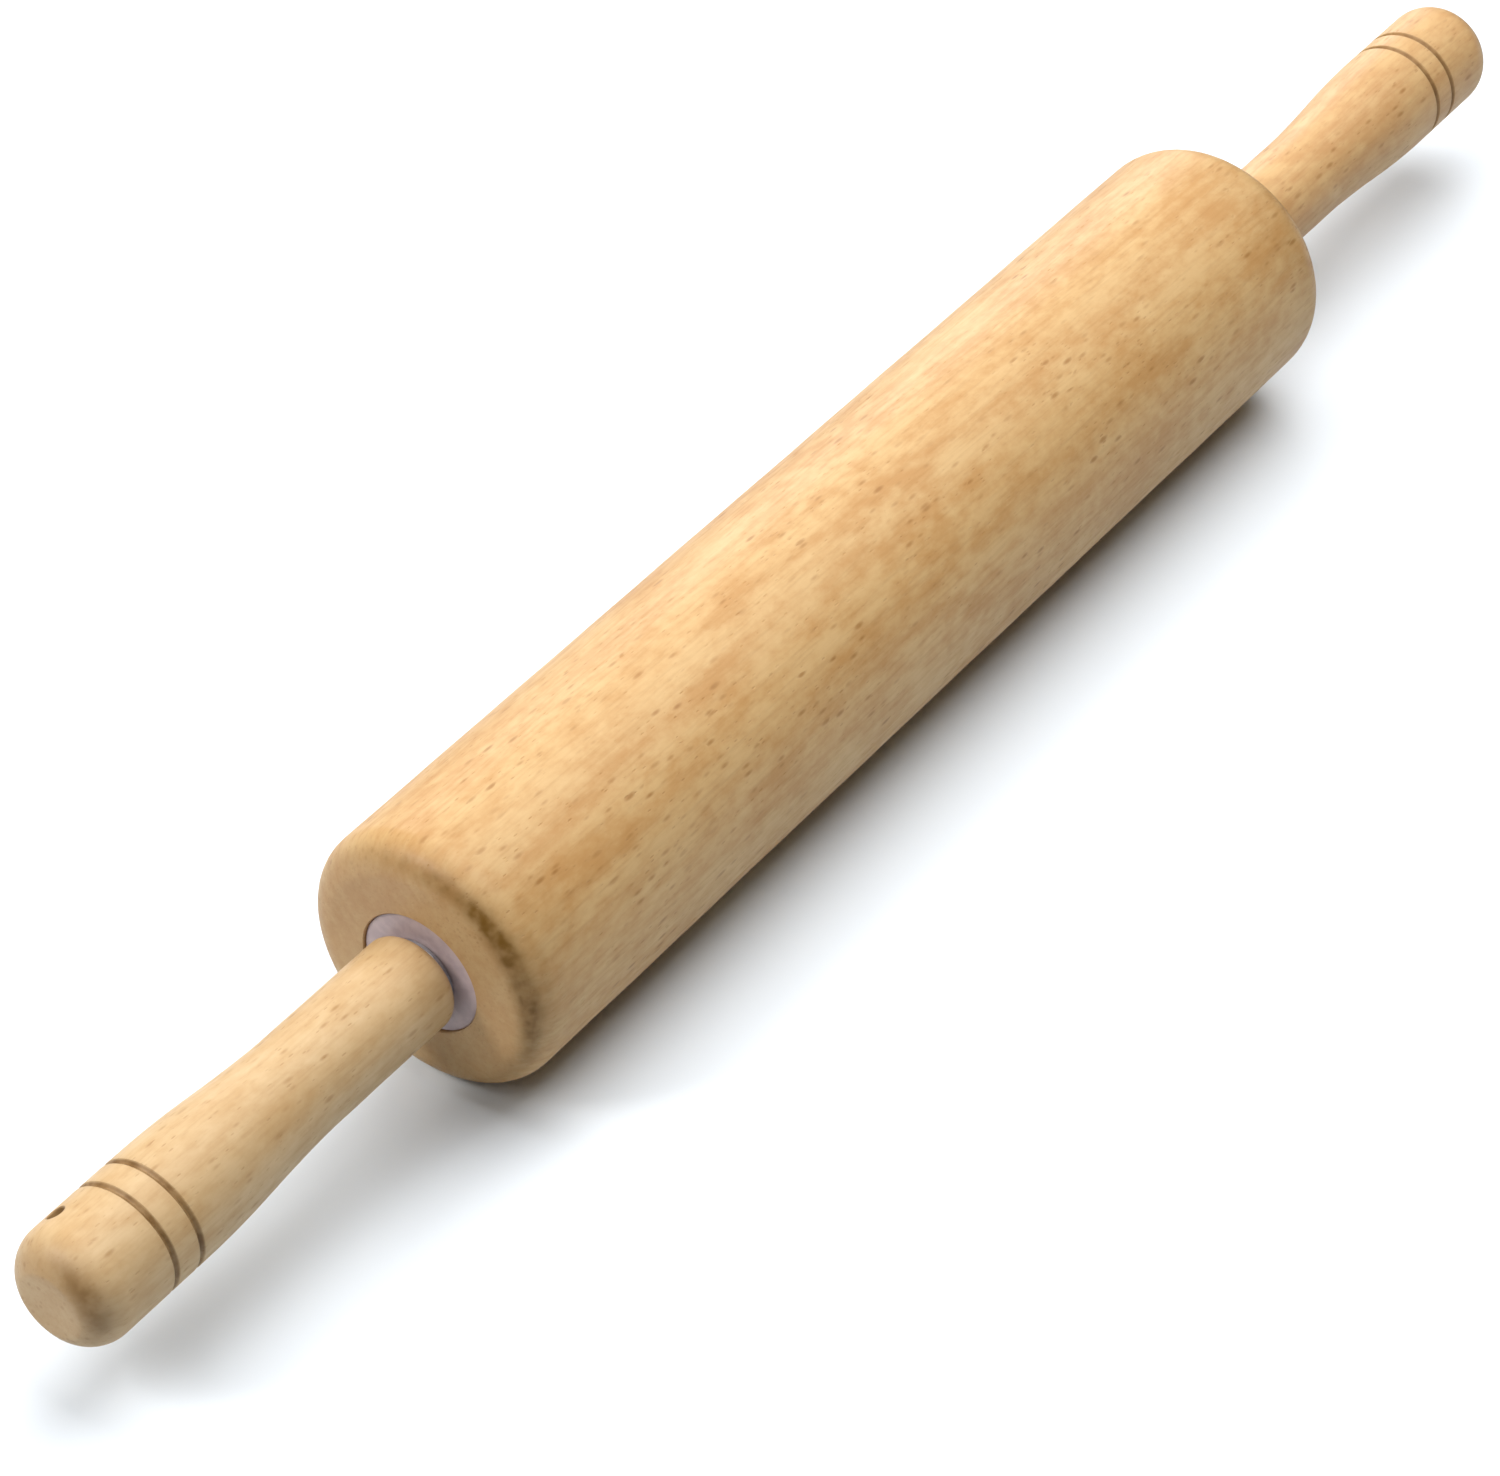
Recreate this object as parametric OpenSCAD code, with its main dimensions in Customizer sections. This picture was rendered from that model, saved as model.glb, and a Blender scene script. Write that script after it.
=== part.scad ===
// Rolling pin with a revolving barrel. A turned hardwood barrel spins on a steel rod that joins
// two turned handles. The pin lies along X with the middle of the barrel at X 0, and it rests on
// the barrel, so the table is at Z 0. The left handle, at minus X, has the hanging hole.

/* [Barrel] */
// Diameter of the barrel
barrel_d = 51; // [42:1:75]
// Length of the barrel
barrel_len = 254; // [120:2:460]
// Radius that rounds each end edge of the barrel
barrel_edge_r = 6.5; // [1:0.5:8]
// Diameter of the long hole that the rod passes through
barrel_bore_d = 12; // [12:0.5:14]

/* [Handles] */
// Length of one handle
handle_len = 91.5; // [84:0.5:140]
// Diameter of the slim neck
neck_d = 18.6; // [16:0.1:26]
// Diameter of the knob
knob_d = 22.1; // [18:0.1:32]
// Length of the even stretch of the knob, with its rounded end
knob_len = 28; // [27:1:36]
// Length of the swell between the neck and the knob
swell_len = 34; // [12:1:42]
// Radius that rounds the end of the knob
knob_edge_r = 7.3; // [4.5:0.1:8]
// Diameter of the flat at the end of the knob
knob_flat_d = 12.6; // [10:0.1:14]
// Radius that rounds the handle's edge beside the barrel
root_edge_r = 2.5; // [0.5:0.1:3]

/* [Scorched grooves] */
// Number of grooves around each knob
groove_count = 2; // [1:1:3]
// Distance from the end of the knob to the middle of the first groove
groove_from_end = 17.6; // [16:0.1:18]
// Distance between the middles of two grooves
groove_step = 6.1; // [2:0.1:6.2]
// Width of a groove at the surface
groove_w = 1.4; // [0.6:0.1:1.6]
// Depth of a groove
groove_depth = 0.6; // [0.2:0.1:1]

/* [Hanging hole] */
// Diameter of the hole through the left knob
hang_d = 3.2; // [2:0.1:5]
// Distance from the end of the knob to the middle of the hole
hang_from_end = 10; // [9.5:0.1:13]
// Angle of the hole above the table, seen along the pin
hang_turn = 52; // [0:1:180]

/* [Rod] */
// Diameter of the rod where the barrel turns on it
rod_d = 9.5; // [9:0.1:11.4]
// Diameter of the threaded ends
thread_d = 8; // [6:0.5:8.5]
// Length of each threaded end
thread_len = 20; // [18:1:26]
// Chamfer at the tips of the rod
rod_chamfer = 0.8; // [0.2:0.1:1.5]

/* [Inserts] */
// Outer diameter of the threaded insert in each handle
insert_d = 12.5; // [11.5:0.1:14]
// Length of an insert
insert_len = 16; // [12:1:18]
// Depth of the insert below the handle's inner end
insert_recess = 0.5; // [0.2:0.1:2]
// Number of glue grooves around an insert
insert_grooves = 3; // [1:1:3]
// Width of a glue groove
insert_groove_w = 1.5; // [0.5:0.1:2]
// Depth of a glue groove
insert_groove_depth = 0.5; // [0.2:0.1:1]

/* [Bushes] */
// Outer diameter of the sleeve that is pressed into the barrel
bush_d = 16; // [14.5:0.1:20]
// Length of the sleeve that is pressed into the barrel behind the flange
bush_len = 20; // [8:1:50]
// Diameter of the flange that is let into the barrel's end
flange_d = 24; // [21:0.5:25]
// Thickness of the flange
flange_t = 1.3; // [0.8:0.1:5]
// Depth of the flange's face below the barrel's end
flange_recess = 0.5; // [0.1:0.1:1]
// Radius that rounds the outer edge of the flange
flange_edge_r = 0.3; // [0.1:0.1:0.7]
// Chamfer that leads the sleeve into the barrel
bush_chamfer = 0.6; // [0.2:0.1:1]

/* [Washers] */
// Outer diameter of the thrust washers
washer_d = 14; // [13.5:0.1:18]
// Thickness of a washer
washer_t = 0.8; // [0.5:0.1:3]

/* [Fits] */
// Gap all round between the rod and the bushes
running_gap = 0.06; // [0.02:0.01:0.1]
// Gap all round between the rod and the washers
washer_gap = 0.08; // [0.02:0.01:0.1]
// Free play on each side of a washer, along the rod
side_play = 0.2; // [0.1:0.05:1]
// Empty space past the tip of the rod, in the handle's blind hole
tip_space = 2; // [0.5:0.5:4]

/* [Hidden] */
turned_sides = 128;
arc_steps = 12;
swell_steps = 20;
cut_over = 1;
root_land = 0.3;
wood = [0.87, 0.70, 0.49];
pale_wood = [0.89, 0.73, 0.54];
steel = [0.66, 0.67, 0.69];
brass = [0.78, 0.62, 0.32];
nylon = [0.70, 0.64, 0.65];
barrel_r = barrel_d / 2;
neck_r = neck_d / 2;
knob_r = knob_d / 2;
knob_flat_r = knob_flat_d / 2;
rod_r = rod_d / 2;
thread_r = thread_d / 2;
insert_r = insert_d / 2;
bush_r = bush_d / 2;
flange_r = flange_d / 2;
washer_r = washer_d / 2;
// Places along the pin, from the middle of the barrel to the end of the right handle
face_x = barrel_len / 2;
flange_x = face_x - flange_recess;
seat_x = flange_x - flange_t;
sleeve_x = seat_x - bush_len;
washer_x = flange_x + side_play;
root_x = washer_x + washer_t + side_play;
insert_x = root_x + insert_recess;
tip_x = insert_x + thread_len;
end_x = root_x + handle_len;
knob_x = end_x - knob_len;
swell_x = knob_x - swell_len;
hang_x = end_x - hang_from_end;

// Points [radius, place] along an arc about the point [r, x], from angle a to angle b
function arc(r, x, size, a, b) =
    [for (i = [0 : arc_steps]) [r + size * cos(a + (b - a) * i / arc_steps),
                                x + size * sin(a + (b - a) * i / arc_steps)]];

// Points along the swell, which leaves the neck and meets the knob without a corner
function swell() =
    [for (i = [0 : swell_steps]) [neck_r + (knob_r - neck_r) * (1 - cos(180 * i / swell_steps)) / 2,
                                  swell_x + swell_len * i / swell_steps]];

// Points down and up the sides of one groove, whose middle is at x
function groove(x) = [[knob_r, x - groove_w / 2], [knob_r - groove_depth, x], [knob_r, x + groove_w / 2]];

// All grooves of a knob, from the innermost to the one nearest the end
function grooves() =
    [for (i = [groove_count - 1 : -1 : 0]) each groove(end_x - groove_from_end - groove_step * i)];

// The knob's round end: an arc that leaves the side without a corner and stops at the flat
function knob_end() =
    let (centre_r = knob_r - knob_edge_r,
         centre_x = end_x - sqrt(knob_edge_r * knob_edge_r - pow(knob_flat_r - centre_r, 2)),
         stop = atan2(end_x - centre_x, knob_flat_r - centre_r))
    arc(centre_r, centre_x, knob_edge_r, 0, stop);

// Turns an outline of [radius, place] points about the pin's long axis
module turned(outline) {
    translate([0, 0, barrel_r])
        rotate([0, 90, 0])
            rotate_extrude($fn = turned_sides)
                polygon(outline);
}

module barrel() {
    bore_r = barrel_bore_d / 2;
    corner_r = barrel_r - barrel_edge_r;
    corner_x = face_x - barrel_edge_r;
    color(wood)
        turned(concat(
            [[bore_r, -sleeve_x], [bush_r, -sleeve_x], [bush_r, -seat_x],
             [flange_r, -seat_x], [flange_r, -face_x]],
            arc(corner_r, -corner_x, barrel_edge_r, -90, 0),
            arc(corner_r, corner_x, barrel_edge_r, 0, 90),
            [[flange_r, face_x], [flange_r, seat_x],
             [bush_r, seat_x], [bush_r, sleeve_x], [bore_r, sleeve_x]]));
}

module right_bush() {
    bore_r = rod_r + running_gap;
    color(nylon)
        turned(concat(
            [[bore_r, sleeve_x], [bush_r - bush_chamfer, sleeve_x], [bush_r, sleeve_x + bush_chamfer],
             [bush_r, seat_x], [flange_r, seat_x]],
            arc(flange_r - flange_edge_r, flange_x - flange_edge_r, flange_edge_r, 0, 90),
            [[bore_r, flange_x]]));
}

module left_bush() {
    mirror([1, 0, 0]) right_bush();
}

module axle_rod() {
    waist = thread_r - rod_chamfer;
    color(steel)
        turned([[0, -tip_x], [waist, -tip_x], [thread_r, rod_chamfer - tip_x],
            [thread_r, -insert_x], [rod_r, -insert_x], [rod_r, insert_x], [thread_r, insert_x],
            [thread_r, tip_x - rod_chamfer], [waist, tip_x], [0, tip_x]]);
}

module right_washer() {
    hole_r = rod_r + washer_gap;
    color(steel)
        turned([[hole_r, washer_x], [washer_r, washer_x], [washer_r, washer_x + washer_t],
            [hole_r, washer_x + washer_t]]);
}

module left_washer() {
    mirror([1, 0, 0]) right_washer();
}

module right_insert() {
    pitch = insert_len / (insert_grooves + 1);
    floor_r = insert_r - insert_groove_depth;
    half_w = insert_groove_w / 2;
    glue_grooves = [for (i = [1 : insert_grooves]) let (x = insert_x + pitch * i)
        each [[insert_r, x - half_w], [floor_r, x - half_w], [floor_r, x + half_w], [insert_r, x + half_w]]];
    color(brass)
        turned(concat(
            [[thread_r, insert_x], [insert_r, insert_x]],
            glue_grooves,
            [[insert_r, insert_x + insert_len], [thread_r, insert_x + insert_len]]));
}

module left_insert() {
    mirror([1, 0, 0]) right_insert();
}

module right_handle() {
    blind_x = tip_x + tip_space;
    stop_x = insert_x + insert_len;
    tip_r = thread_r + running_gap;
    round_r = min(root_edge_r, neck_r - insert_r - root_land);
    color(pale_wood)
        turned(concat(
            [[0, blind_x], [tip_r, blind_x], [tip_r, stop_x], [insert_r, stop_x], [insert_r, root_x]],
            arc(neck_r - round_r, root_x + round_r, round_r, -90, 0),
            swell(),
            grooves(),
            knob_end(),
            [[0, end_x]]));
}

module left_handle() {
    color(pale_wood)
        difference() {
            mirror([1, 0, 0]) right_handle();
            translate([-hang_x, 0, barrel_r])
                rotate([hang_turn - 90, 0, 0])
                    cylinder(h = knob_d + 2 * cut_over, r = hang_d / 2, center = true, $fn = 48);
        }
}

barrel();
left_bush();
right_bush();
axle_rod();
left_washer();
right_washer();
left_insert();
right_insert();
left_handle();
right_handle();
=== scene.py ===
# A turned hardwood rolling pin lies on a pale table. Its barrel revolves on a steel rod that joins
# two slim handles. The pin lies along X and its left handle, at minus X, points at the viewer.
import math

import bpy
import numpy as np
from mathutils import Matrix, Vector


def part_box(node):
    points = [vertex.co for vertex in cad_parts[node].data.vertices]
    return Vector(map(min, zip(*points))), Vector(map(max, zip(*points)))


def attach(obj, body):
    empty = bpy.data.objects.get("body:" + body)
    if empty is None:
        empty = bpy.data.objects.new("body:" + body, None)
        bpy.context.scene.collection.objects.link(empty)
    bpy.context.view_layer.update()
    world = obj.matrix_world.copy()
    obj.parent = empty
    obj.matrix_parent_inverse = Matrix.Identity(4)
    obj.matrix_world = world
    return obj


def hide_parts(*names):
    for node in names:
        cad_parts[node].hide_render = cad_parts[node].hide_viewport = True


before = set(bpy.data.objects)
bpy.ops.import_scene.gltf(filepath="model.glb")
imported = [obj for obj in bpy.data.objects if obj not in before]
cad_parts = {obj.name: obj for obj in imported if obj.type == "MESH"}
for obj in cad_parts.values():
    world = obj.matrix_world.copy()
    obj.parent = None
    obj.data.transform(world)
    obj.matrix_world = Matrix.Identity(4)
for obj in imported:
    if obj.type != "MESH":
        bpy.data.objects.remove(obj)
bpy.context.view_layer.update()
scene = bpy.context.scene


# The view
# The photograph looks down at 41 degrees from in front of the left end, with a long lens, so the
# pin runs from the lower left to the upper right. Places are metres in the pin's own frame.
view_place = Vector((-0.57536, -0.39155, 0.60023))
view_aim = Vector((-0.04609, -0.00999, 0.0255))
view_lens = 118.10
view_sensor = 36.0

view_data = bpy.data.cameras.new("view")
view_data.sensor_width = view_sensor
view_data.lens = view_lens
view = bpy.data.objects.new("view", view_data)
view.location = view_place
view.rotation_mode = "QUATERNION"
view.rotation_quaternion = (view_aim - view_place).to_track_quat("-Z", "Y")
scene.collection.objects.link(view)
scene.camera = view
scene.view_settings.view_transform = "Standard"


# The table and the light
# A matt white table, round and a little cold, lit so that it shows pure white away from the pin and
# meets the white room without an edge. One large soft light hangs above. Smaller ones stand beyond
# the far end, to the viewer's left and above the near end. The pin's underside stays as dark as
# the photograph's, so the table and the room throw less light on to it than such whites would.
table_radius = 0.5
table_corners = 120
table_white = (0.815, 0.86, 0.90, 1.0)
table_glow = (0.66, 0.72, 0.77, 1.0)
light_white = (1.0, 1.0, 1.0)
room_white = (1.0, 1.0, 1.0, 1.0)
room_light = (0.013, 0.021, 0.034, 1.0)


def new_material(name):
    """A new material, its node tree and its surface shader."""
    made = bpy.data.materials.new(name)
    made.use_nodes = True
    return made, made.node_tree, made.node_tree.nodes["Principled BSDF"]


table_mesh = bpy.data.meshes.new("table")
turn = np.radians(np.linspace(0, 360, table_corners, endpoint=False))
table_rim = table_radius * np.stack([np.cos(turn), np.sin(turn), 0 * turn], axis=-1)
table_mesh.from_pydata(table_rim.tolist(), [], [list(range(len(turn)))])
table = bpy.data.objects.new("table", table_mesh)
scene.collection.objects.link(table)
table_finish, tree, table_shader = new_material("table_white")
shown_or_thrown = tree.nodes.new("ShaderNodeMix")
shown_or_thrown.data_type = "RGBA"
shown_or_thrown.inputs["A"].default_value = table_glow
shown_or_thrown.inputs["B"].default_value = table_white
light_path = tree.nodes.new("ShaderNodeLightPath")
tree.links.new(light_path.outputs["Is Camera Ray"], shown_or_thrown.inputs["Factor"])
tree.links.new(shown_or_thrown.outputs["Result"], table_shader.inputs["Base Color"])
table_shader.inputs["Roughness"].default_value = 0.9
table_shader.inputs["Specular IOR Level"].default_value = 0.0
table_mesh.materials.append(table_finish)

room = bpy.data.worlds.new("room")
room.use_nodes = True
room_shader = room.node_tree.nodes["Background"]
seen_or_lit = room.node_tree.nodes.new("ShaderNodeMix")
seen_or_lit.data_type = "RGBA"
seen_or_lit.inputs["A"].default_value = room_light
seen_or_lit.inputs["B"].default_value = room_white
light_path = room.node_tree.nodes.new("ShaderNodeLightPath")
room.node_tree.links.new(light_path.outputs["Is Camera Ray"], seen_or_lit.inputs["Factor"])
room.node_tree.links.new(seen_or_lit.outputs["Result"], room_shader.inputs["Color"])
scene.world = room


def soft_light(name, turn, height, distance, side, watts):
    """A flat square light that faces the middle of the table from a distance in metres. From
    there it is seen in the direction turn, in degrees from X towards Y, and height degrees up."""
    data = bpy.data.lights.new(name, "AREA")
    data.size = side
    data.energy = watts
    data.color = light_white
    lamp = bpy.data.objects.new(name, data)
    a, h = math.radians(turn), math.radians(height)
    way = Vector((math.cos(a) * math.cos(h), math.sin(a) * math.cos(h), math.sin(h)))
    lamp.location = distance * way
    lamp.rotation_mode = "QUATERNION"
    lamp.rotation_quaternion = (-way).to_track_quat("-Z", "Y")
    scene.collection.objects.link(lamp)


soft_light("top_light", 0, 75, 1.57, 1.6, 34.6)
soft_light("left_light", 144, 42, 1.6, 0.5, 13.2)
soft_light("low_light", 45, 18, 1.6, 0.8, 11.0)
soft_light("near_light", 182, 52, 1.6, 0.8, 4.9)


# The barrel
# One piece of pale close-grained hardwood, turned, sanded and oiled, with rounded ends. A long
# hole runs through it for the rod, and each end of the hole is opened out for a bush's sleeve and
# once more, close to the face, for its flange.
barrel_low, barrel_high = (np.array(corner) * 1000 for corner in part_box("barrel"))
axis_height = (barrel_low[2] + barrel_high[2]) / 2
barrel_radius = (barrel_high[2] - barrel_low[2]) / 2
barrel_half = (barrel_high[0] - barrel_low[0]) / 2
barrel_rounding = 6.5
barrel_bore = 6.0
bush_low, bush_high = (np.array(corner) * 1000 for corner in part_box("right_bush"))
sleeve_place, flange_place = bush_low[0], bush_high[0]
sleeve_radius = 8.0
flange_radius = (bush_high[2] - bush_low[2]) / 2
flange_thickness = 1.3
seat_place = flange_place - flange_thickness
seat_ease = 0.2
barrel_columns = 240
barrel_wear = 0.07
barrel_pith = (-31, 70)
rim_line_turn = 54
rim_line_spread = 17
rim_line_share = 0.10
# Painted shade: the side of each barrel end where the rim line is strong and the wood beside it is darker.
barrel_shade_turn = math.radians(147)
barrel_shade_share = 1.05
end_shade_reach = 26.0
end_shade_share = 0.42


def line(start, end, count):
    """Evenly spaced points on a straight line from start to end, the end left out. A point is
    (place along the pin, radius) in millimetres."""
    share = np.arange(count)[:, None] / count
    return (1 - share) * np.array(start) + share * np.array(end)


def arc(centre, size, start, end, count):
    """Points on an arc about centre, the last left out. At angle a, the place is that of the centre
    plus size sin a, and the radius is that of the centre plus size cos a."""
    a = np.radians(start + (end - start) * np.arange(count) / count)
    return np.array(centre) + size * np.stack([np.sin(a), np.cos(a)], axis=-1)


def full_circle(columns, start=0.0):
    """The angles of evenly spaced columns, as a grid of one row."""
    return start + 2 * np.pi * np.arange(columns)[None, :] / columns


def along_map(outline, closed, *parts):
    """How far along the flat map each row of an outline lies. A part is (its first row, its share
    of the map), and in a part the rows are spaced by their distance along the outline."""
    steps = np.linalg.norm(np.roll(outline, -1, axis=0) - outline, axis=1)
    steps = steps if closed else steps[:-1]
    ends = [start for start, _ in parts[1:]] + [len(steps)]
    for (start, share), end in zip(parts, ends):
        steps[start:end] *= share / steps[start:end].sum()
    return np.concatenate([[0.0], np.cumsum(steps)])


def skin_faces(rows, columns, along):
    """Faces and flat map of a grid of points whose columns close into a circle. Its rows close too
    where along, the map's place for each row, is one longer than the rows. Face (i, j) joins the
    points (i, j), (i, j + 1), (i + 1, j + 1) and (i + 1, j)."""
    i, j = np.divmod(np.arange((len(along) - 1) * columns), columns)
    row, column = np.stack([i, i, i + 1, i + 1], axis=-1), np.stack([j, j + 1, j + 1, j], axis=-1)
    chart = np.stack([column / columns, along[row]], axis=-1)
    return row % rows * columns + column % columns, chart


def turned_skin(place, radius, angle, along):
    """Points, faces and flat map of a surface turned about the pin's axis. Row i, column j is the
    point x = place, y = radius cos angle, z = axis height + radius sin angle."""
    x = np.broadcast_to(place, radius.shape)
    points = np.stack([x, radius * np.cos(angle), axis_height + radius * np.sin(angle)], axis=-1)
    return points.reshape(-1, 3), *skin_faces(*radius.shape, along)


def make_piece(name, points, faces, chart, **marks):
    """A closed mesh from points in millimetres, four-cornered faces and their flat map. Points at
    one place become one, and a face that loses a corner this way becomes a triangle. Where the
    volume, a sixth of the sum of a . (b x c) over the triangles, is negative, all faces turn over."""
    used, faces = np.unique(faces, return_inverse=True)
    points = points[used]
    rounded = np.round(points, 5) + 0.0
    _, first, same = np.unique(rounded, axis=0, return_index=True, return_inverse=True)
    places = points[first]
    faces = same.reshape(-1)[faces.reshape(-1, 4)]
    a, b, c, d = places[faces].transpose(1, 0, 2)
    if np.sum(a * np.cross(b, c)) + np.sum(a * np.cross(c, d)) < 0:
        faces, chart = faces[:, ::-1], chart[:, ::-1]
    lost_first = (faces[:, 0] == faces[:, 1]) | (faces[:, 1] == faces[:, 2])
    lost_last = (faces[:, 2] == faces[:, 3]) | (faces[:, 3] == faces[:, 0])
    kinds = [(~(lost_first | lost_last), [0, 1, 2, 3]), (lost_first, [0, 2, 3]), (lost_last, [0, 1, 2])]
    corners = [corner for chosen, order in kinds for corner in faces[chosen][:, order].tolist()]
    spots = np.concatenate([chart[chosen][:, order].reshape(-1, 2) for chosen, order in kinds])
    mesh = bpy.data.meshes.new(name)
    mesh.from_pydata((places / 1000).tolist(), [], corners)
    mesh.uv_layers.new(name="OFBake").uv.foreach_set("vector", spots.astype(np.float32).ravel())
    for mark, values in marks.items():
        held = mesh.attributes.new(mark, "FLOAT", "POINT")
        held.data.foreach_set("value", values.ravel()[used][first].astype(np.float32))
    mesh.polygons.foreach_set("use_smooth", np.ones(len(mesh.polygons), dtype=bool))
    mesh.set_sharp_from_angle(angle=math.radians(38))
    piece = bpy.data.objects.new(name, mesh)
    scene.collection.objects.link(piece)
    return piece


def fit_on_pin(piece, finish, body, node):
    """Gives the piece its finish and the body that it moves with, and hides the node that it stands for."""
    piece.data.materials.append(finish)
    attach(piece, body)
    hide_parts(node)


face_radius = barrel_radius - barrel_rounding
round_place = barrel_half - barrel_rounding
barrel_outside = np.concatenate([
    line((-barrel_half, flange_radius + seat_ease), (-barrel_half, face_radius), 7),
    arc((-round_place, face_radius), barrel_rounding, -90, 0, 26),
    line((-round_place, barrel_radius), (round_place, barrel_radius), 290),
    arc((round_place, face_radius), barrel_rounding, 0, 90, 26),
    line((barrel_half, face_radius), (barrel_half, flange_radius + seat_ease), 7),
])
right_seat = np.concatenate([
    line((barrel_half, flange_radius + seat_ease), (barrel_half - seat_ease, flange_radius), 1),
    line((barrel_half - seat_ease, flange_radius), (seat_place, flange_radius), 2),
    line((seat_place, flange_radius), (seat_place, sleeve_radius), 2),
    line((seat_place, sleeve_radius), (sleeve_place, sleeve_radius), 3),
    line((sleeve_place, sleeve_radius), (sleeve_place, barrel_bore), 1),
    line((sleeve_place, barrel_bore), (0, barrel_bore), 4),
])
barrel_inside = np.concatenate([right_seat, [(0, barrel_bore)], right_seat[:0:-1] * (-1, 1)])
outline = np.concatenate([barrel_outside, barrel_inside])
angle = full_circle(barrel_columns)
place, radius = outline[:, :1], outline[:, 1:] + 0 * angle
to_pith = np.hypot(radius * np.cos(angle) - barrel_pith[0], radius * np.sin(angle) - barrel_pith[1])
slow_wave = 0.02 * np.sin(place / 9.7 + 1.3) + 0.015 * np.sin(place / 3.6) + 0.02 * np.cos(2 * angle + 0.6)
raised_grain = 0.012 * np.sin(2 * np.pi * to_pith / 2.3 + 0.6 * np.sin(place / 21))
turned_share = np.clip((radius - face_radius) / barrel_rounding, 0, 1)
radius = radius - turned_share * (barrel_wear + slow_wave + raised_grain)

# A faint dark line lies round each end's rounding. On one side only, the line is much stronger and the wood
# beside the end is darker. That one-sided darkening is painted shade. The line is a bell curve of the angle
# round the rounding.
on_round = np.abs(place) > round_place
edge_turn = on_round * np.degrees(np.arctan2(np.abs(place) - round_place, outline[:, 1:] - face_radius))
rim_line_and_shade = on_round * np.exp(-(((edge_turn - rim_line_turn) / rim_line_spread) ** 2))
barrel_shade_side = (0.5 + 0.5 * np.cos(angle - barrel_shade_turn)) ** 4
from_face = barrel_half - np.abs(place)
end_painted_shade = turned_share * np.clip(1 - from_face / end_shade_reach, 0, 1) ** 2 * end_shade_share
rim_line_and_shade = rim_line_and_shade * (rim_line_share + barrel_shade_share * barrel_shade_side) + end_painted_shade * barrel_shade_side

barrel = make_piece(
    "barrel_turned",
    *turned_skin(place, radius, angle, along_map(outline, True, (0, 0.96), (len(barrel_outside), 0.04))),
    end_grain=np.minimum(edge_turn / 90, 1) + 0 * angle,
    scorch=np.minimum(rim_line_and_shade, 1),
)


def link(tree, source, socket):
    """Joins an output to an input, or sets the input's own value."""
    if isinstance(source, bpy.types.NodeSocket):
        tree.links.new(source, socket)
    else:
        socket.default_value = source


def mapped(tree, source, place=(0, 0, 0), turn=(0, 0, 0), scale=(1, 1, 1)):
    """Coordinates scaled, turned and moved."""
    node = tree.nodes.new("ShaderNodeMapping")
    link(tree, source, node.inputs["Vector"])
    node.inputs["Location"].default_value = place
    node.inputs["Rotation"].default_value = turn
    node.inputs["Scale"].default_value = scale
    return node.outputs["Vector"]


def in_millimetres(tree, place=(0, 0, 0), turn=(0, 0, 0)):
    """The piece's own coordinates in millimetres, turned and moved."""
    seen = tree.nodes.new("ShaderNodeTexCoord").outputs["Object"]
    return mapped(tree, seen, place, turn, (1000, 1000, 1000))


def noise(tree, source, detail=2.0, roughness=0.5):
    """Cloudy noise from 0 to 1, with one lump to each unit of the coordinates."""
    node = tree.nodes.new("ShaderNodeTexNoise")
    link(tree, source, node.inputs["Vector"])
    node.inputs["Scale"].default_value = 1.0
    node.inputs["Detail"].default_value = detail
    node.inputs["Roughness"].default_value = roughness
    return node.outputs["Fac"]


def between(tree, source, low, high, start=0.0, end=1.0, smooth=True):
    """start where the source is at low or under, and end where it is at high or over."""
    node = tree.nodes.new("ShaderNodeMapRange")
    node.interpolation_type = "SMOOTHSTEP" if smooth else "LINEAR"
    link(tree, source, node.inputs["Value"])
    node.inputs["From Min"].default_value = low
    node.inputs["From Max"].default_value = high
    node.inputs["To Min"].default_value = start
    node.inputs["To Max"].default_value = end
    return node.outputs["Result"]


def sums(tree, kind, first, second=0.0):
    """One step of arithmetic on two numbers, such as ADD or MULTIPLY."""
    node = tree.nodes.new("ShaderNodeMath")
    node.operation = kind
    link(tree, first, node.inputs[0])
    link(tree, second, node.inputs[1])
    return node.outputs[0]


def laid_over(tree, share, first, second):
    """The first colour, with the second laid over it by share."""
    node = tree.nodes.new("ShaderNodeMix")
    node.data_type = "RGBA"
    link(tree, share, node.inputs["Factor"])
    link(tree, first, node.inputs["A"])
    link(tree, second, node.inputs["B"])
    return node.outputs["Result"]


def mark_of(tree, name):
    """A value that the mesh holds at each point."""
    node = tree.nodes.new("ShaderNodeAttribute")
    node.attribute_name = name
    return node.outputs["Fac"]


def raise_surface(tree, shader, height, metres, strength=1.0):
    """Lets a height from 0 to 1 raise the surface by up to the given metres."""
    node = tree.nodes.new("ShaderNodeBump")
    node.inputs["Strength"].default_value = strength
    node.inputs["Distance"].default_value = metres
    link(tree, height, node.inputs["Height"])
    link(tree, node.outputs["Normal"], shader.inputs["Normal"])


def colour(red, green, blue):
    """A colour as a screen shows it, from 0 to 255, in the shader's linear numbers."""
    shown = np.array([red, green, blue]) / 255
    linear = np.where(shown <= 0.04045, shown / 12.92, ((shown + 0.055) / 1.055) ** 2.4)
    return (*linear.tolist(), 1.0)


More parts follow.
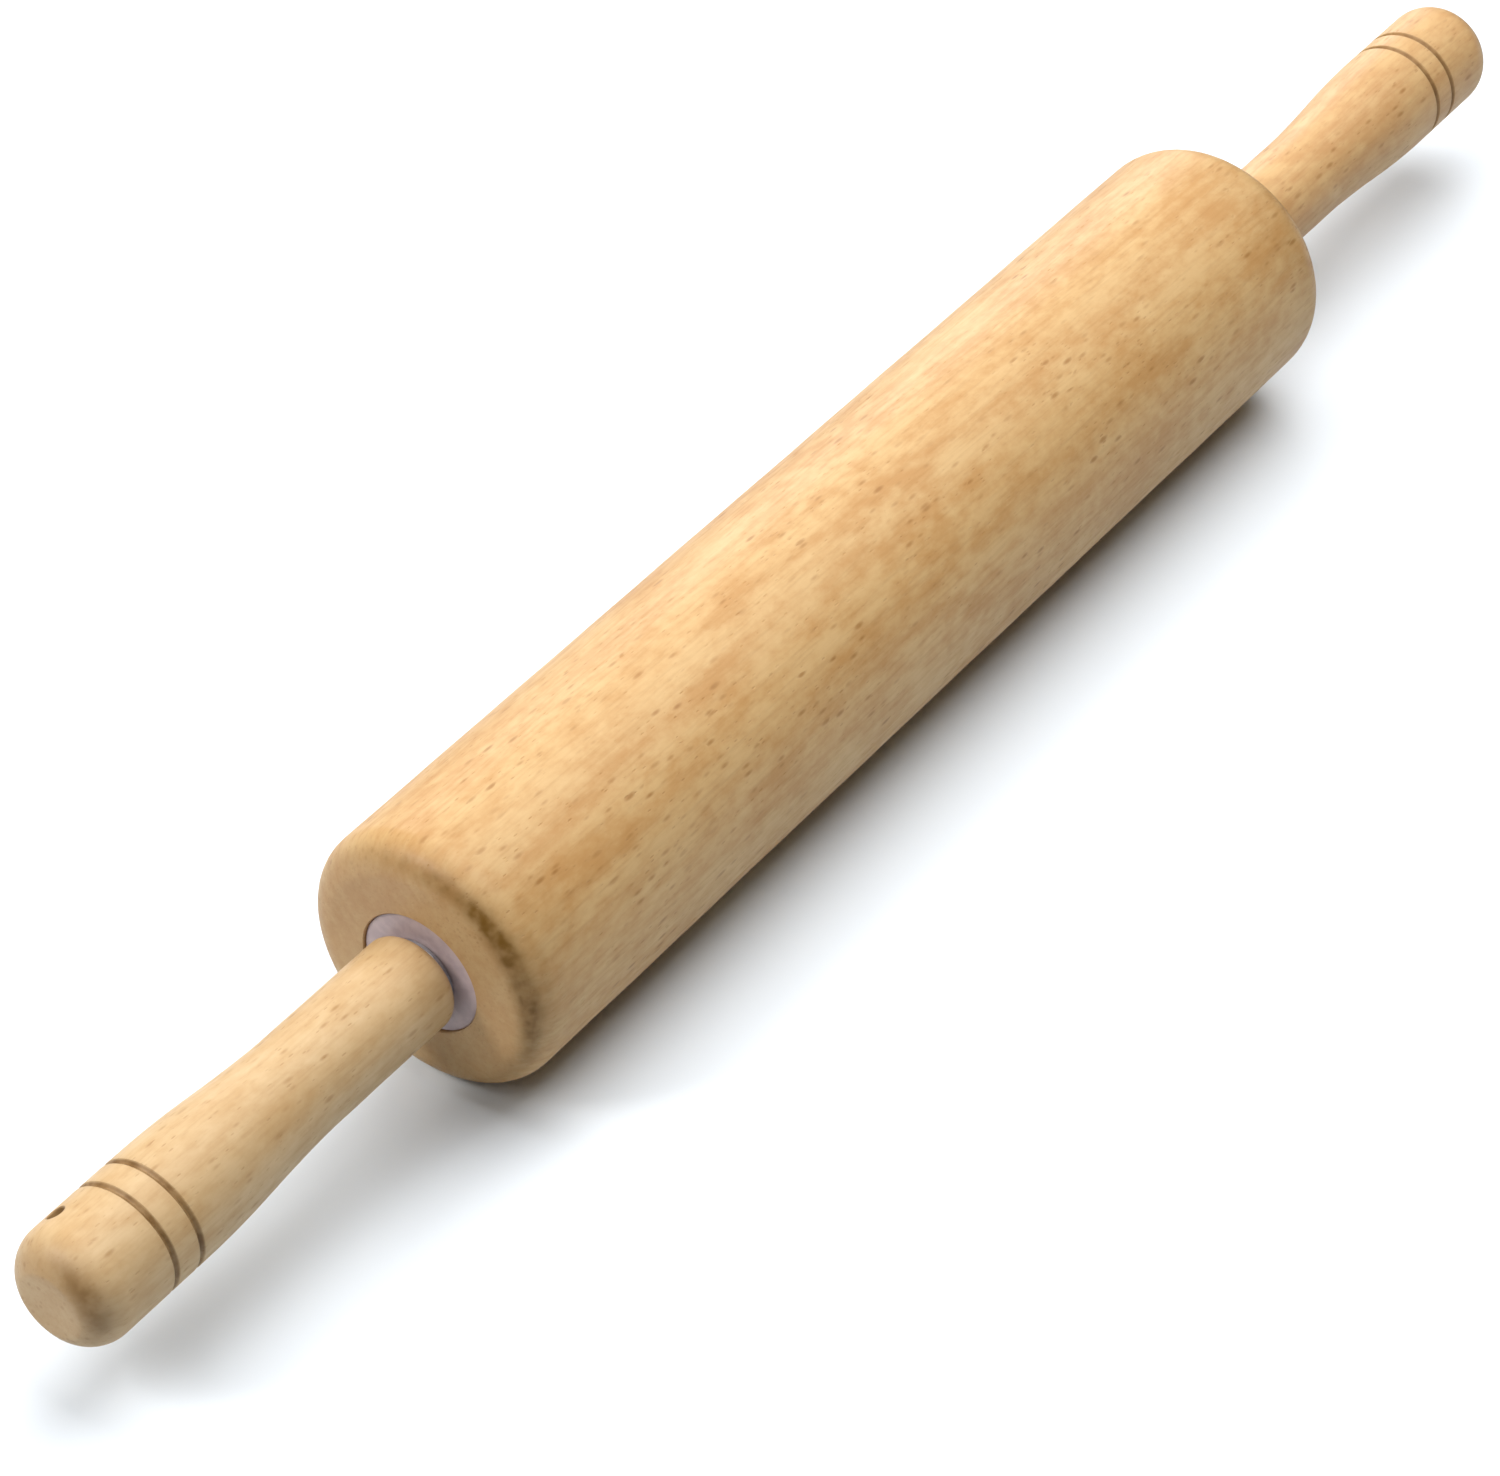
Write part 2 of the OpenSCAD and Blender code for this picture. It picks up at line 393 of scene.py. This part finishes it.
def dashes(tree, spot, scale, least, widest, edge):
    """Short dashes along the pin, 1 within and 0 outside, at most one in each cell of a Voronoi
    pattern. A cell's own chance is a number from 0 to 1. From least up to 1 it gives a dash
    from nothing to widest across, and edge is how soft its outline is."""
    cells = tree.nodes.new("ShaderNodeTexVoronoi")
    link(tree, mapped(tree, spot, scale=scale), cells.inputs["Vector"])
    cells.inputs["Scale"].default_value = 1.0
    chance = tree.nodes.new("ShaderNodeSeparateColor")
    link(tree, cells.outputs["Color"], chance.inputs["Color"])
    width = between(tree, chance.outputs["Red"], least, 1.0, 0.0, widest, smooth=False)
    return between(tree, sums(tree, "SUBTRACT", width, cells.outputs["Distance"]), 0.0, edge)


def wood(name, pale, ripe, fleck, end, scorch_and_shade_colour, place, turn, pith):
    """Close-grained hardwood, sanded and oiled. The pattern fills space, so it runs through from
    the sides to the ends. Growth rings lie about the pith. Fine grain, pores and the darker flecks
    of such wood are drawn out along the pin, crowd together in places, and are dots on the ends."""
    made, tree, shader = new_material(name)
    spot = in_millimetres(tree, place, turn)
    bend = noise(tree, mapped(tree, spot, scale=(0.014, 0.05, 0.05)))
    split = tree.nodes.new("ShaderNodeVectorMath")
    split.operation = "DISTANCE"
    link(tree, mapped(tree, spot, scale=(0, 1, 1)), split.inputs[0])
    split.inputs[1].default_value = (0, *pith)
    depth = sums(tree, "ADD", split.outputs["Value"], sums(tree, "MULTIPLY", bend, 9.0))
    ring = tree.nodes.new("ShaderNodeTexNoise")
    ring.noise_dimensions = "1D"
    link(tree, depth, ring.inputs["W"])
    ring.inputs["Scale"].default_value = 0.42
    ring.inputs["Detail"].default_value = 2.0

    cloud = noise(tree, mapped(tree, spot, scale=(0.05, 0.10, 0.10)), 3.0, 0.55)
    mottle = noise(tree, mapped(tree, spot, scale=(0.22, 0.40, 0.40)), 3.0, 0.6)
    grain = noise(tree, mapped(tree, spot, scale=(0.09, 1.4, 1.4)), 3.0, 0.6)
    gather = noise(tree, mapped(tree, spot, scale=(0.045, 0.09, 0.09)))
    crowd = between(tree, gather, 0.36, 0.62, 0.25, 1.0)
    flecks = dashes(tree, spot, (0.24, 0.76, 0.76), 0.12, 0.48, 0.36)
    pores = dashes(tree, spot, (0.42, 1.6, 1.6), 0.25, 0.34, 0.16)

    tone = sums(tree, "ADD", sums(tree, "MULTIPLY", cloud, 0.46), sums(tree, "MULTIPLY", mottle, 0.38))
    tone = sums(tree, "ADD", tone, sums(tree, "MULTIPLY", ring.outputs["Fac"], 0.16))
    base = laid_over(tree, between(tree, tone, 0.34, 0.66), pale, ripe)
    base = laid_over(tree, between(tree, grain, 0.42, 0.80, 0.0, 0.20), base, fleck)
    base = laid_over(tree, sums(tree, "MULTIPLY", flecks, sums(tree, "MULTIPLY", crowd, 0.64)), base, fleck)
    base = laid_over(tree, sums(tree, "MULTIPLY", pores, sums(tree, "MULTIPLY", crowd, 0.36)), base, fleck)
    base = laid_over(tree, sums(tree, "MULTIPLY", mark_of(tree, "end_grain"), 0.5), base, end)
    # This mark lays a dark colour over the wood. In the handles' grooves it is scorch. On one side of the
    # knobs' ends, in the hanging hole and mostly round the barrel's ends, it is painted shade.
    uneven = between(tree, noise(tree, mapped(tree, spot, scale=(0.35, 0.35, 0.35))), 0.30, 0.70, 0.65, 1.0)
    base = laid_over(tree, sums(tree, "MULTIPLY", mark_of(tree, "scorch"), uneven), base, scorch_and_shade_colour)
    link(tree, base, shader.inputs["Base Color"])
    smooth = between(tree, grain, 0.3, 0.8, 0.42, 0.52)
    rough = sums(tree, "ADD", smooth, sums(tree, "MULTIPLY", pores, 0.15))
    link(tree, rough, shader.inputs["Roughness"])
    shader.inputs["Specular IOR Level"].default_value = 0.25
    relief = sums(tree, "SUBTRACT", sums(tree, "MULTIPLY", grain, 0.5), pores)
    raise_surface(tree, shader, relief, metres=5e-5, strength=0.6)
    return made


barrel_wood = wood(
    "barrel_wood",
    pale=colour(207, 171, 119),
    ripe=colour(188, 142, 87),
    fleck=colour(144, 96, 44),
    end=colour(170, 138, 100),
    scorch_and_shade_colour=colour(108, 74, 20),
    place=(0, 0, 0),
    turn=(0, 0.012, 0.02),
    pith=barrel_pith,
)
fit_on_pin(barrel, barrel_wood, "barrel", "barrel")


# The bushes
# Two flanged sleeves of lilac-grey nylon, moulded in one piece each and pressed into the ends of
# the barrel. The flange lies just below the barrel's face and shows as a pale ring round the handle.
flange_rounding = 0.3
bush_bore = 4.81
bush_chamfer = 0.6
mouth_chamfer = 0.3
bush_columns = 128

bush_outside = np.concatenate([
    line((sleeve_place, bush_bore + mouth_chamfer), (sleeve_place, sleeve_radius - bush_chamfer), 2),
    line((sleeve_place, sleeve_radius - bush_chamfer), (sleeve_place + bush_chamfer, sleeve_radius), 1),
    line((sleeve_place + bush_chamfer, sleeve_radius), (seat_place, sleeve_radius), 12),
    line((seat_place, sleeve_radius), (seat_place, flange_radius), 4),
    line((seat_place, flange_radius), (flange_place - flange_rounding, flange_radius), 2),
    arc((flange_place - flange_rounding, flange_radius - flange_rounding), flange_rounding, 0, 90, 8),
    line((flange_place, flange_radius - flange_rounding), (flange_place, bush_bore + mouth_chamfer), 8),
])
bush_inside = np.concatenate([
    line((flange_place, bush_bore + mouth_chamfer), (flange_place - mouth_chamfer, bush_bore), 1),
    line((flange_place - mouth_chamfer, bush_bore), (sleeve_place + mouth_chamfer, bush_bore), 12),
    line((sleeve_place + mouth_chamfer, bush_bore), (sleeve_place, bush_bore + mouth_chamfer), 1),
])
outline = np.concatenate([bush_outside, bush_inside])
angle = full_circle(bush_columns)
place, radius = outline[:, :1], outline[:, 1:] + 0 * angle
along = along_map(outline, True, (0, 0.8), (len(bush_outside), 0.2))

bush_nylon, tree, shader = new_material("bush_nylon")
spot = in_millimetres(tree)
cloudy = noise(tree, mapped(tree, spot, scale=(0.5, 0.5, 0.5)))
grainy = noise(tree, mapped(tree, spot, scale=(6, 6, 6)))
nylon_tint = laid_over(tree, between(tree, cloudy, 0.35, 0.65), colour(190, 170, 168), colour(178, 158, 158))
link(tree, nylon_tint, shader.inputs["Base Color"])
link(tree, between(tree, grainy, 0.3, 0.7, 0.38, 0.50), shader.inputs["Roughness"])
raise_surface(tree, shader, grainy, metres=2e-5)

for side, end in (("left", -1), ("right", 1)):
    bush = make_piece(side + "_bush_moulded", *turned_skin(end * place, radius, angle, along))
    fit_on_pin(bush, bush_nylon, "barrel", side + "_bush")


# The rod
# A drawn steel rod, thick where the barrel turns on it. Its thinner ends are threaded and screw
# into the inserts in the handles.
rod_low, rod_high = (np.array(corner) * 1000 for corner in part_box("axle_rod"))
rod_radius = (rod_high[2] - rod_low[2]) / 2
tip_place = rod_high[0]
thread_radius = 4.0
thread_length = 20.0
thread_pitch = 1.25
thread_depth = 0.62
rod_chamfer = 0.8
shoulder_chamfer = 0.3
rod_columns = 64
shoulder_place = tip_place - thread_length


def thread_cut(place, angle):
    """How deep the thread cuts at a place and angle. Its ridge climbs one pitch in each turn, so
    with t = place / pitch - angle / (2 pi), the cut is the full depth times twice the distance
    from t to the nearest whole number. It fades out over one pitch at either end."""
    t = place / thread_pitch - angle / (2 * np.pi)
    from_ends = np.minimum(place - shoulder_place, tip_place - rod_chamfer - place)
    return thread_depth * 2 * np.abs(t - np.round(t)) * np.clip(from_ends / thread_pitch, 0, 1)


half_rod = np.concatenate([
    line((0, rod_radius), (shoulder_place - shoulder_chamfer, rod_radius), 30),
    line((shoulder_place - shoulder_chamfer, rod_radius), (shoulder_place, rod_radius - shoulder_chamfer), 1),
    line((shoulder_place, rod_radius - shoulder_chamfer), (shoulder_place, thread_radius), 1),
    line((shoulder_place, thread_radius), (tip_place - rod_chamfer, thread_radius), 150),
    line((tip_place - rod_chamfer, thread_radius), (tip_place, thread_radius - rod_chamfer), 4),
    line((tip_place, thread_radius - rod_chamfer), (tip_place, 0), 5),
    [(tip_place, 0)],
])
outline = np.concatenate([half_rod[:0:-1] * (-1, 1), half_rod])
angle = full_circle(rod_columns)
place, radius = outline[:, :1], outline[:, 1:] + 0 * angle
radius = radius - thread_cut(np.abs(place), angle * np.sign(place))
rod = make_piece("rod_threaded", *turned_skin(place, radius, angle, along_map(outline, False, (0, 1.0))))


def metal(name, bright, dull, smooth, rough, marks, depth):
    """Bare metal with fine tool marks. The marks are noise with so many lumps to a millimetre along
    each axis. They tint it from bright to dull, roughen it from smooth to rough, and have a depth."""
    made, tree, shader = new_material(name)
    lines = noise(tree, mapped(tree, in_millimetres(tree), scale=marks), 3.0, 0.6)
    link(tree, laid_over(tree, between(tree, lines, 0.3, 0.7), bright, dull), shader.inputs["Base Color"])
    link(tree, between(tree, lines, 0.3, 0.7, smooth, rough), shader.inputs["Roughness"])
    shader.inputs["Metallic"].default_value = 1.0
    raise_surface(tree, shader, lines, metres=depth)
    return made


steel_bright, steel_dull = colour(205, 206, 209), colour(184, 185, 188)
rod_steel = metal("rod_steel", steel_bright, steel_dull, 0.24, 0.38, (0.08, 7, 7), 8e-6)
fit_on_pin(rod, rod_steel, "handles", "axle_rod")


# The washers
# A thin stamped washer of zinc-plated steel runs between each bush and its handle and takes the
# rubbing. The face by the handle has the rounded edges that stamping leaves.
washer_low, washer_high = (np.array(corner) * 1000 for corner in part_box("right_washer"))
washer_radius = (washer_high[2] - washer_low[2]) / 2
washer_start, washer_end = washer_low[0], washer_high[0]
washer_hole = 4.83
washer_rounding = 0.25
washer_columns = 96

outline = np.concatenate([
    line((washer_start, washer_hole), (washer_start, washer_radius), 6),
    line((washer_start, washer_radius), (washer_end - washer_rounding, washer_radius), 2),
    arc((washer_end - washer_rounding, washer_radius - washer_rounding), washer_rounding, 0, 90, 6),
    line((washer_end, washer_radius - washer_rounding), (washer_end, washer_hole + washer_rounding), 6),
    arc((washer_end - washer_rounding, washer_hole + washer_rounding), washer_rounding, 90, 180, 6),
    line((washer_end - washer_rounding, washer_hole), (washer_start, washer_hole), 2),
])
angle = full_circle(washer_columns)
place, radius = outline[:, :1], outline[:, 1:] + 0 * angle
along = along_map(outline, True, (0, 1.0))
zinc_bright, zinc_dull = colour(190, 192, 196), colour(168, 171, 177)
washer_steel = metal("washer_steel", zinc_bright, zinc_dull, 0.30, 0.46, (3, 1.2, 1.2), 8e-6)
for side, end in (("left", -1), ("right", 1)):
    washer = make_piece(side + "_washer_stamped", *turned_skin(end * place, radius, angle, along))
    fit_on_pin(washer, washer_steel, side + "_washer", side + "_washer")


# The inserts
# A turned brass insert is glued into the blind hole of each handle. It is threaded inside for the
# rod, and its outside is knurled and has grooves that hold the glue.
insert_low, insert_high = (np.array(corner) * 1000 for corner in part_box("right_insert"))
insert_radius = (insert_high[2] - insert_low[2]) / 2
insert_start, insert_end = insert_low[0], insert_high[0]
glue_grooves = 3
glue_groove_half = 0.75
glue_groove_depth = 0.5
glue_groove_wall = 0.2
knurl_teeth = 48
knurl_depth = 0.14
insert_chamfer = 0.3
thread_fit = 0.03
insert_columns = 4 * knurl_teeth

outline = np.concatenate([
    line((insert_start, thread_radius), (insert_start, insert_radius), 4),
    line((insert_start, insert_radius), (insert_end, insert_radius), 80),
    line((insert_end, insert_radius), (insert_end, thread_radius), 4),
    line((insert_end, thread_radius), (insert_start, thread_radius), 110),
])
angle = full_circle(insert_columns)
place, radius = outline[:, :1], outline[:, 1:] + 0 * angle
from_end = np.minimum(place - insert_start, insert_end - place)
groove_pitch = (insert_end - insert_start) / (glue_grooves + 1)
from_groove = np.abs((place - insert_start) / groove_pitch - np.round((place - insert_start) / groove_pitch))
in_groove = np.clip((glue_groove_half - from_groove * groove_pitch) / glue_groove_wall + 0.5, 0, 1)
in_groove = in_groove * (from_end > groove_pitch / 2)
knurl = knurl_depth * (1 + np.cos(knurl_teeth * angle)) / 2
chamfer = np.clip(insert_chamfer - from_end, 0, None)
outer_cut = in_groove * glue_groove_depth + (1 - in_groove) * knurl + chamfer
radius = radius - (outline[:, 1:] == insert_radius) * outer_cut
radius = radius - (outline[:, 1:] == thread_radius) * (thread_cut(place, angle) - thread_fit)
along = along_map(outline, True, (0, 1.0))
brass_bright, brass_dull = colour(214, 178, 104), colour(190, 152, 82)
insert_brass = metal("insert_brass", brass_bright, brass_dull, 0.26, 0.40, (9, 0.6, 0.6), 8e-6)
for side, end in (("left", -1), ("right", 1)):
    insert = make_piece(side + "_insert_turned", *turned_skin(end * place, radius, end * angle, along))
    fit_on_pin(insert, insert_brass, "handles", side + "_insert")


# The handles
# Two slim handles, turned from the same wood as the barrel. Each has an even neck that swells into
# a knob with two scorched grooves and a rounded end. A blind hole in the inner end takes the
# insert and the tip of the rod. The left knob is drilled through for hanging.
handle_low, handle_high = (np.array(corner) * 1000 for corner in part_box("right_handle"))
root_place, end_place = handle_low[0], handle_high[0]
knob_radius = (handle_high[2] - handle_low[2]) / 2
neck_radius = 9.3
knob_place = end_place - 28.0
swell_place = knob_place - 34.0
knob_rounding = 7.3
knob_flat = 6.3
root_rounding = 2.5
groove_places = (end_place - 23.7, end_place - 17.6)
groove_half = 0.7
groove_depth = 0.6
groove_ease = 0.03
tip_hole = 4.06
tip_hole_end = tip_place + 2.0
# Painted shade on one side of each knob's round end.
knob_shade_turn = 48
knob_shade_spread = 21
knob_shade_share = 0.9
knob_shade_side = math.radians(150)
handle_wear = 0.032
wear_fade = 6.0
left_pith = (24, -38)
right_pith = (-42, 20)
scorch_depth = 0.45
smoke_share = 0.18
handle_columns = 192
handle_step = 2 * np.pi / handle_columns
skin_share = 0.96
tube_start = 0.97


def swell(count):
    """The swell from the neck to the knob: the radius grows by half a cosine wave, so it leaves
    the neck and meets the knob without a corner."""
    share = np.arange(count) / count
    radius = neck_radius + (knob_radius - neck_radius) * (1 - np.cos(np.pi * share)) / 2
    return np.stack([swell_place + (knob_place - swell_place) * share, radius], axis=-1)


def groove_cut(place):
    """How deep the scorched grooves cut at a place, which is a V with an eased bottom. With t the
    distance from a groove's middle over half its width, and e the ease, the cut falls from the
    full depth as the root of t squared plus e."""
    cut = np.zeros_like(place)
    ease = math.sqrt(groove_ease)
    for middle in groove_places:
        t = np.abs(place - middle) / groove_half
        fall = (np.sqrt(t * t + groove_ease) - ease) / (math.sqrt(1 + groove_ease) - ease)
        cut += groove_depth * np.clip(1 - fall, 0, None)
    return cut


# The hanging hole goes straight through the left knob, 52 degrees above the table. A square of
# the knob's grid about each mouth gives way to a circle: the outer steps are that square's half
# side, and the inner steps are the half side of the square that the mouth takes up.
hole_turn = math.radians(52)
hole_place = end_place - 10.0
hole_radius = 1.6
hole_lip = 0.3
# The wall of the hanging hole is darkened with painted shade.
hole_scorch = 0.8
hole_end_grain = 0.3
outer_steps = 8
inner_steps = 4
outer_half = outer_steps * handle_step * knob_radius

end_radius = knob_radius - knob_rounding
end_arc_place = end_place - math.sqrt(knob_rounding ** 2 - (knob_flat - end_radius) ** 2)
end_arc_stop = math.degrees(math.atan2(end_place - end_arc_place, knob_flat - end_radius))
groove_reach = 1.1
groove_sides = [middle + side * groove_reach for middle in groove_places for side in (-1, 1)]
handle_inside = np.concatenate([
    [(tip_hole_end, 0)],
    line((tip_hole_end, tip_hole), (insert_end, tip_hole), 3),
    line((insert_end, tip_hole), (insert_end, insert_radius), 1),
    line((insert_end, insert_radius), (root_place, insert_radius), 4),
])
before_hole = np.concatenate([
    line((root_place, insert_radius), (root_place, neck_radius - root_rounding), 2),
    arc((root_place + root_rounding, neck_radius - root_rounding), root_rounding, -90, 0, 10),
    line((root_place + root_rounding, neck_radius), (swell_place, neck_radius), 26),
    swell(34),
    line((knob_place, knob_radius), (groove_sides[0], knob_radius), 4),
    line((groove_sides[0], knob_radius), (groove_sides[1], knob_radius), 22),
    line((groove_sides[1], knob_radius), (groove_sides[2], knob_radius), 6),
    line((groove_sides[2], knob_radius), (groove_sides[3], knob_radius), 22),
    line((groove_sides[3], knob_radius), (hole_place - outer_half, knob_radius), 5),
])
from_hole = np.concatenate([
    line((hole_place - outer_half, knob_radius), (hole_place + outer_half, knob_radius), 2 * outer_steps),
    line((hole_place + outer_half, knob_radius), (end_arc_place, knob_radius), 1),
    arc((end_arc_place, end_radius), knob_rounding, 0, end_arc_stop, 22),
    line((end_place, knob_flat), (end_place, 0), 9),
    [(end_place, 0)],
])
outline = np.concatenate([handle_inside, before_hole, from_hole])
outer = np.arange(len(outline))[:, None] >= len(handle_inside)
angle = full_circle(handle_columns, hole_turn)
place, radius = outline[:, :1], outline[:, 1:] + 0 * angle
to_pith = np.hypot(radius * np.cos(angle) - left_pith[0], radius * np.sin(angle) - left_pith[1])
slow_wave = 0.012 * np.sin(place / 5.3) + 0.01 * np.sin(place / 2.1 + 0.7)
raised_grain = 0.01 * np.sin(2 * np.pi * to_pith / 2.1 + 0.5 * np.sin(place / 13))
past_root = outline[:, 1:] > neck_radius - root_rounding
worn_share = np.clip((groove_sides[0] - place) / wear_fade, 0, 1) * past_root

# Friction has scorched the grooves and smoked the wood beside them. One side of the knob's round
# end is darkened with painted shade. Both are bell curves, of the distance from a groove and of the angle
# round the end.
cut = outer * groove_cut(place)
radius = radius - cut - outer * worn_share * (handle_wear + slow_wave + raised_grain)
smoke = sum(np.exp(-((place - middle) ** 2)) for middle in groove_places)
scorch = outer * np.clip(cut / (scorch_depth * groove_depth) + smoke_share * smoke, 0, 1) + 0 * angle
end_turn = np.degrees(np.arctan2(place - end_arc_place, outline[:, 1:] - end_radius))
knob_painted_shade = np.exp(-(((end_turn - knob_shade_turn) / knob_shade_spread) ** 2)) * (place > end_arc_place)
knob_painted_shade = knob_painted_shade * (0.5 + 0.5 * np.cos(angle - knob_shade_side)) ** 3
scorch = np.maximum(scorch, knob_shade_share * knob_painted_shade)
run, rise = np.gradient(outline, axis=0).T
steepness = np.abs(rise) / np.maximum(np.hypot(run, rise), 1e-9)
end_grain = (steepness * (outline[:, 0] > end_arc_place))[:, None] + 0 * angle
along = skin_share * along_map(outline, False, (0, 0.05), (len(handle_inside), 0.95))
handle_points, handle_faces, handle_chart = turned_skin(place, radius, angle, along)


def at_hole(beside, forth, above):
    """Points by the hanging hole, given across the knob, along the pin and out along the hole."""
    across_way = np.array([0, -math.sin(hole_turn), math.cos(hole_turn)])
    out_way = np.array([0, math.cos(hole_turn), math.sin(hole_turn)])
    centre = np.array([hole_place, 0, axis_height])
    return centre + beside[..., None] * across_way + forth[..., None] * (1, 0, 0) + above[..., None] * out_way


def let_in_mouths(points):
    """The handle's points with the grid opened round the hole. With a and b the steps from the
    middle of a mouth, across the knob and along it, points on the outer square stay. Those on the
    inner square move to a circle, and those between lie evenly on straight ways between the two.
    All stay on the knob, at a height of the root of its radius squared less beside squared."""
    grid = np.arange(len(points)).reshape(-1, handle_columns)
    middle = len(handle_inside) + len(before_hole) + outer_steps
    b, a = np.mgrid[-outer_steps + 1:outer_steps, -outer_steps + 1:outer_steps]
    reach = np.maximum(np.maximum(np.abs(a), np.abs(b)), 1)
    share = (reach - inner_steps) / (outer_steps - inner_steps)
    turn = np.arctan2(b, a)
    mouth = hole_radius + hole_lip
    to_outer = outer_steps * handle_step / reach
    beside = (1 - share) * mouth * np.cos(turn) + share * knob_radius * np.sin(a * to_outer)
    forth = (1 - share) * mouth * np.sin(turn) + share * knob_radius * b * to_outer
    above = np.sqrt(knob_radius ** 2 - beside ** 2)
    points = points.copy()
    points[grid[middle + b, a % handle_columns]] = at_hole(beside, forth, above)
    points[grid[middle + b, (a + handle_columns // 2) % handle_columns]] = at_hole(-beside, forth, -above)
    inner = np.arange(-inner_steps, inner_steps)
    kept = np.ones((len(outline) - 1, handle_columns), dtype=bool)
    kept[middle + inner[:, None], inner % handle_columns] = False
    kept[middle + inner[:, None], inner + handle_columns // 2] = False
    around = np.sort(turn[reach == inner_steps])
    return points, kept.ravel(), around


def drilled_tube(around):
    """The wall of the hanging hole, from its upper mouth to its lower one, at the given angles. Each
    lip is a quarter circle: at angle a its radius is that of the hole plus the lip times 1 - sin a,
    and it lies the lip times 1 - cos a under the knob's surface."""
    a = np.linspace(0, np.pi / 2, 7)
    lip_radius, lip_depth = hole_radius + hole_lip * (1 - np.sin(a)), hole_lip * (1 - np.cos(a))
    wall_radius, wall_depth = np.full(5, hole_radius), np.full(5, hole_lip)
    tube_radius = np.concatenate([lip_radius, wall_radius, lip_radius[::-1]])[:, None]
    tube_depth = np.concatenate([lip_depth, wall_depth, lip_depth[::-1]])[:, None]
    way = np.concatenate([np.ones(7), np.linspace(1, -1, 7)[1:-1], -np.ones(7)])[:, None]
    beside, forth = tube_radius * np.cos(around), tube_radius * np.sin(around)
    above = way * (np.sqrt(knob_radius ** 2 - beside ** 2) - tube_depth)
    return at_hole(beside, forth, above)


right_handle = make_piece(
    "right_handle_turned", handle_points, handle_faces, handle_chart, scorch=scorch, end_grain=end_grain
)
opened_points, kept, around = let_in_mouths(handle_points)
tube = drilled_tube(around)
tube_faces, tube_chart = skin_faces(*tube.shape[:2], np.linspace(tube_start, 1.0, len(tube)))
left_handle = make_piece(
    "left_handle_drilled",
    np.concatenate([opened_points, tube.reshape(-1, 3)]) * (-1, 1, 1),
    np.concatenate([handle_faces[kept], tube_faces + len(opened_points)]),
    np.concatenate([handle_chart[kept], tube_chart]),
    scorch=np.concatenate([scorch.ravel(), np.full(tube[..., 0].size, hole_scorch)]),
    end_grain=np.concatenate([end_grain.ravel(), np.full(tube[..., 0].size, hole_end_grain)]),
)
left_handle_wood = wood(
    "left_handle_wood",
    pale=colour(204, 174, 131),
    ripe=colour(189, 153, 106),
    fleck=colour(152, 110, 60),
    end=colour(170, 138, 100),
    scorch_and_shade_colour=colour(120, 87, 46),
    place=(40, 17, 9),
    turn=(0, -0.01, 0.015),
    pith=left_pith,
)
right_handle_wood = wood(
    "right_handle_wood",
    pale=colour(208, 171, 120),
    ripe=colour(192, 147, 97),
    fleck=colour(150, 102, 52),
    end=colour(170, 138, 100),
    scorch_and_shade_colour=colour(136, 101, 60),
    place=(-25, 44, 31),
    turn=(0, 0.01, 0.01),
    pith=right_pith,
)
fit_on_pin(left_handle, left_handle_wood, "handles", "left_handle")
fit_on_pin(right_handle, right_handle_wood, "handles", "right_handle")
